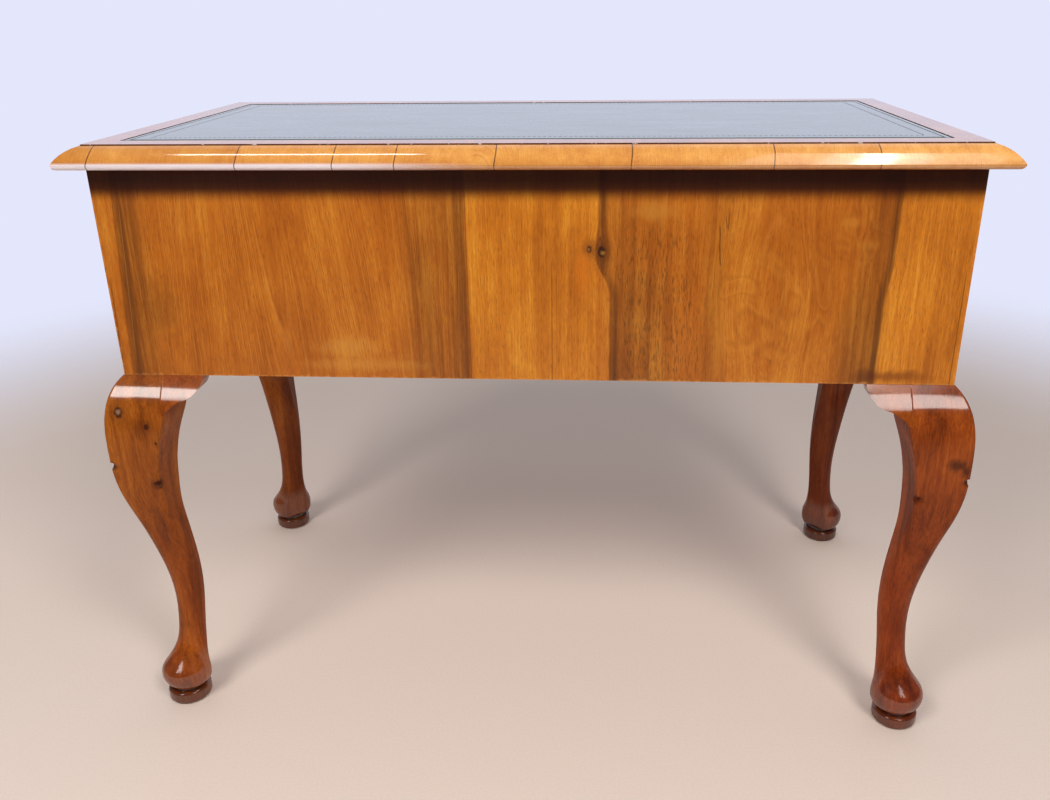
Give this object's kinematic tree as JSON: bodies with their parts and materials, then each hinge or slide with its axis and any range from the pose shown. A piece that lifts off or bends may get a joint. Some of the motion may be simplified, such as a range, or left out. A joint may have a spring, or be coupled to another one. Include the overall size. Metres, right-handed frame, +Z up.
{
  "type": "kneehole desk",
  "caption": "Kneehole writing desk on cabriole legs with pad feet, a moulded leather-lined top, a veneered case and sliding drawers with brass bail handles.",
  "frame": {"origin": "on the floor under the middle of the desk", "axes": "+X to the right of someone who sits at the desk, +Y to the back panel, +Z up"},
  "size_m": [1.06, 0.55, 0.775],
  "materials": {
    "veneer_walnut": "french polish, worn",
    "cross_grain_walnut": "french polish, worn",
    "leg_walnut": "french polish, worn",
    "drawer_oak": "waxed",
    "case_pine": "bare",
    "green_leather": "satin, gilt tooled",
    "brass": "aged polish",
    "steel": "plain"
  },
  "bodies": {
    "case": {"back_panel": "veneer_walnut", "drawer_kickers": "case_pine", "drawer_runners": "case_pine", "drawer_stops": "case_pine", "glue_blocks": "case_pine", "knee_brackets": "leg_walnut", "kneehole_rail": "veneer_walnut", "leather_skiver": "green_leather", "left_drawer_rail": "veneer_walnut", "left_kneehole_side": "veneer_walnut", "left_pedestal_bottom": "veneer_walnut", "left_side_panel": "veneer_walnut", "leg_back_left": "leg_walnut", "leg_back_right": "leg_walnut", "leg_front_left": "leg_walnut", "leg_front_right": "leg_walnut", "right_drawer_rail": "veneer_walnut", "right_kneehole_side": "veneer_walnut", "right_pedestal_bottom": "veneer_walnut", "right_side_panel": "veneer_walnut", "top_border_crossband": "cross_grain_walnut", "top_fixing_screws": "steel", "top_front_rail": "veneer_walnut", "top_moulding_back": "cross_grain_walnut", "top_moulding_front": "cross_grain_walnut", "top_moulding_left": "cross_grain_walnut", "top_moulding_right": "cross_grain_walnut", "top_panel": "case_pine"},
    "centre_drawer": {"centre_drawer_back": "drawer_oak", "centre_drawer_bottom": "drawer_oak", "centre_drawer_front": "veneer_walnut", "centre_drawer_handle_mounts": "brass", "centre_drawer_sides": "drawer_oak"},
    "upper_left_drawer": {"upper_left_drawer_back": "drawer_oak", "upper_left_drawer_bottom": "drawer_oak", "upper_left_drawer_front": "veneer_walnut", "upper_left_drawer_handle_mounts": "brass", "upper_left_drawer_sides": "drawer_oak"},
    "lower_left_drawer": {"lower_left_drawer_back": "drawer_oak", "lower_left_drawer_bottom": "drawer_oak", "lower_left_drawer_front": "veneer_walnut", "lower_left_drawer_handle_mounts": "brass", "lower_left_drawer_sides": "drawer_oak"},
    "upper_right_drawer": {"upper_right_drawer_back": "drawer_oak", "upper_right_drawer_bottom": "drawer_oak", "upper_right_drawer_front": "veneer_walnut", "upper_right_drawer_handle_mounts": "brass", "upper_right_drawer_sides": "drawer_oak"},
    "lower_right_drawer": {"lower_right_drawer_back": "drawer_oak", "lower_right_drawer_bottom": "drawer_oak", "lower_right_drawer_front": "veneer_walnut", "lower_right_drawer_handle_mounts": "brass", "lower_right_drawer_sides": "drawer_oak"},
    "centre_drawer_left_bail": {"centre_drawer_left_bail": "brass"},
    "centre_drawer_right_bail": {"centre_drawer_right_bail": "brass"},
    "lower_left_drawer_bail": {"lower_left_drawer_bail": "brass"},
    "lower_right_drawer_bail": {"lower_right_drawer_bail": "brass"},
    "upper_left_drawer_bail": {"upper_left_drawer_bail": "brass"},
    "upper_right_drawer_bail": {"upper_right_drawer_bail": "brass"}
  },
  "joints": [
    {"name": "centre_drawer_slide", "type": "slide", "parent": "case", "child": "centre_drawer", "axis": [0, -1, 0], "range_m": [0, 0.345]},
    {"name": "upper_left_drawer_slide", "type": "slide", "parent": "case", "child": "upper_left_drawer", "axis": [0, -1, 0], "range_m": [0, 0.345]},
    {"name": "lower_left_drawer_slide", "type": "slide", "parent": "case", "child": "lower_left_drawer", "axis": [0, -1, 0], "range_m": [0, 0.345]},
    {"name": "upper_right_drawer_slide", "type": "slide", "parent": "case", "child": "upper_right_drawer", "axis": [0, -1, 0], "range_m": [0, 0.345]},
    {"name": "lower_right_drawer_slide", "type": "slide", "parent": "case", "child": "lower_right_drawer", "axis": [0, -1, 0], "range_m": [0, 0.345]},
    {"name": "centre_drawer_left_bail_swing", "type": "hinge", "parent": "centre_drawer", "child": "centre_drawer_left_bail", "pos_m": [-0.153, -0.265, 0.6902], "axis": [-1, 0, 0], "range_deg": [-20, 170]},
    {"name": "centre_drawer_right_bail_swing", "type": "hinge", "parent": "centre_drawer", "child": "centre_drawer_right_bail", "pos_m": [0.153, -0.265, 0.6902], "axis": [-1, 0, 0], "range_deg": [-20, 170]},
    {"name": "upper_left_drawer_bail_swing", "type": "hinge", "parent": "upper_left_drawer", "child": "upper_left_drawer_bail", "pos_m": [-0.383, -0.265, 0.6902], "axis": [-1, 0, 0], "range_deg": [-20, 170]},
    {"name": "upper_right_drawer_bail_swing", "type": "hinge", "parent": "upper_right_drawer", "child": "upper_right_drawer_bail", "pos_m": [0.383, -0.265, 0.6902], "axis": [-1, 0, 0], "range_deg": [-20, 170]},
    {"name": "lower_left_drawer_bail_swing", "type": "hinge", "parent": "lower_left_drawer", "child": "lower_left_drawer_bail", "pos_m": [-0.383, -0.265, 0.5722], "axis": [-1, 0, 0], "range_deg": [-20, 170]},
    {"name": "lower_right_drawer_bail_swing", "type": "hinge", "parent": "lower_right_drawer", "child": "lower_right_drawer_bail", "pos_m": [0.383, -0.265, 0.5722], "axis": [-1, 0, 0], "range_deg": [-20, 170]}
  ]
}
